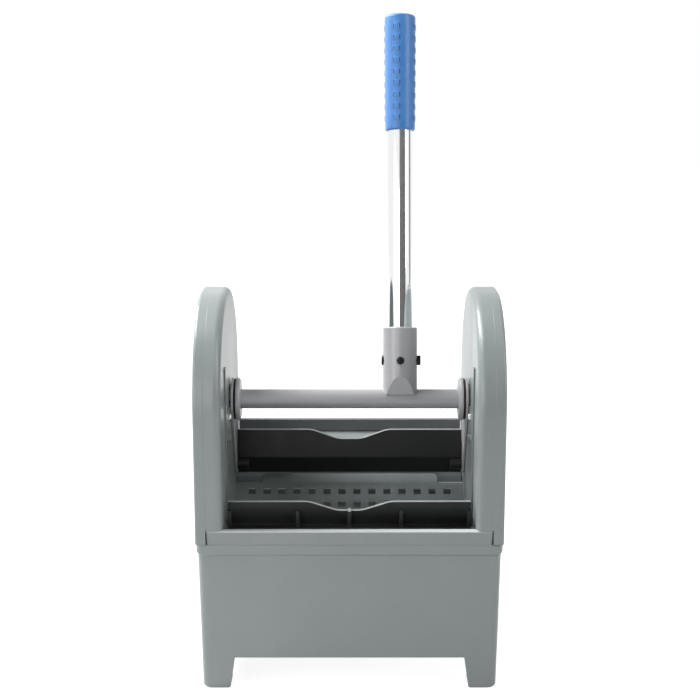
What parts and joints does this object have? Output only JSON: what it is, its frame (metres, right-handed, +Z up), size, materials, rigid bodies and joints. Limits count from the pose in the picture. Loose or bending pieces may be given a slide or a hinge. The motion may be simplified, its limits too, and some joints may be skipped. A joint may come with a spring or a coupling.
{
  "type": "mop wringer",
  "caption": "Press wringer for wet mops: arch-sided moulded body on corner feet, lever handle on a cross shaft, a swinging jaw, a fixed jaw and a perforated sieve.",
  "frame": {"origin": "on the floor under the middle of the body", "axes": "+X along the cross shaft towards the handle's side, +Y to the back, +Z up"},
  "size_m": [0.3008, 0.232, 0.6597],
  "materials": {
    "grey_polypropylene": "satin moulded",
    "grey_nylon": "smooth moulded",
    "black_plastic": "satin moulded",
    "dark_grey_plastic": "satin",
    "black_rubber": "matte",
    "blue_vinyl": "soft satin",
    "chromed_steel": "polished",
    "bright_steel": "zinc plated",
    "black_steel": "black oxide",
    "spring_steel": "blued",
    "white_acetal": "smooth"
  },
  "bodies": {
    "body": {"base_tub": "grey_polypropylene", "sieve_basket": "grey_polypropylene", "left_inner_panel": "grey_polypropylene", "right_inner_panel": "grey_polypropylene", "left_outer_cover": "grey_polypropylene", "right_outer_cover": "grey_polypropylene", "front_jaw": "black_plastic", "rear_splash_strip": "dark_grey_plastic", "cover_screws": "bright_steel", "panel_screws": "bright_steel", "basket_screws": "bright_steel", "front_jaw_screws": "black_steel", "left_return_spring": "spring_steel", "right_return_spring": "spring_steel", "left_bush": "white_acetal", "right_bush": "white_acetal"},
    "lever": {"lever_shaft": "grey_nylon", "axle_rod": "bright_steel", "axle_clips": "bright_steel", "handle_tube": "chromed_steel", "handle_grip": "blue_vinyl", "socket_screws": "black_steel", "cross_bolt": "black_steel", "left_crank_arm": "grey_nylon", "right_crank_arm": "grey_nylon", "left_thrust_washer": "black_rubber", "right_thrust_washer": "black_rubber", "left_jaw_pin": "black_plastic", "right_jaw_pin": "black_plastic", "left_spring_hub": "white_acetal", "right_spring_hub": "white_acetal"},
    "jaw": {"rear_jaw": "black_plastic"}
  },
  "joints": [
    {"name": "lever_swing", "type": "hinge", "parent": "body", "child": "lever", "pos_m": [0, 0, 0.27], "axis": [-1, 0, 0], "range_deg": [0, 55], "stiffness_Nm_per_rad": 0.7, "springref_deg": -57.3, "deforming": ["left_return_spring", "right_return_spring"]},
    {"name": "jaw_tilt", "type": "hinge", "parent": "lever", "child": "jaw", "pos_m": [0, 0.0296, 0.1919], "axis": [1, 0, 0], "range_deg": [0, 50]}
  ]
}
